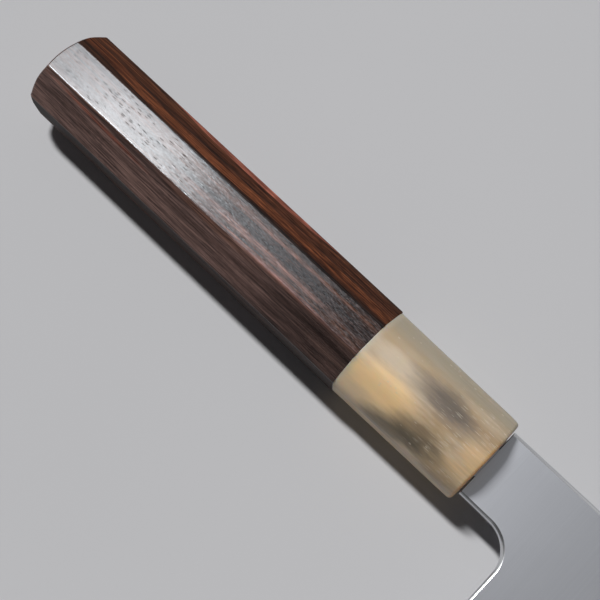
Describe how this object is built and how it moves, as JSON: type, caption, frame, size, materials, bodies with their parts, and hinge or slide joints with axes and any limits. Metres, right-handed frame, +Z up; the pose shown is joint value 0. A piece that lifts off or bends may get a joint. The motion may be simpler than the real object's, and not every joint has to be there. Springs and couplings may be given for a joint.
{
  "type": "gyuto knife",
  "caption": "Chef's knife with a long pointed steel blade, a rounded choil, an octagonal dark wooden handle and a blond horn ferrule, for slicing and chopping.",
  "frame": {"origin": "under the middle of the knife's box, on the surface that the knife lies on", "axes": "+X along the handle's axis from butt to tip, +Y towards the spine, +Z up, square to the blade's mid plane"},
  "size_m": [0.3618, 0.0498, 0.0194],
  "materials": {
    "blade_steel": "fine satin flanks, polished spine and choil",
    "ferrule_horn": "satin blond horn with smoky streaks",
    "handle_wood": "oiled dark rosewood with fine pores and brown streaks",
    "dowel_wood": "plain pale wood",
    "bedding_resin": "dark set resin"
  },
  "bodies": {
    "root": {"blade": "blade_steel", "ferrule": "ferrule_horn", "handle": "handle_wood", "dowel": "dowel_wood", "tang_bedding": "bedding_resin"}
  },
  "joints": []
}
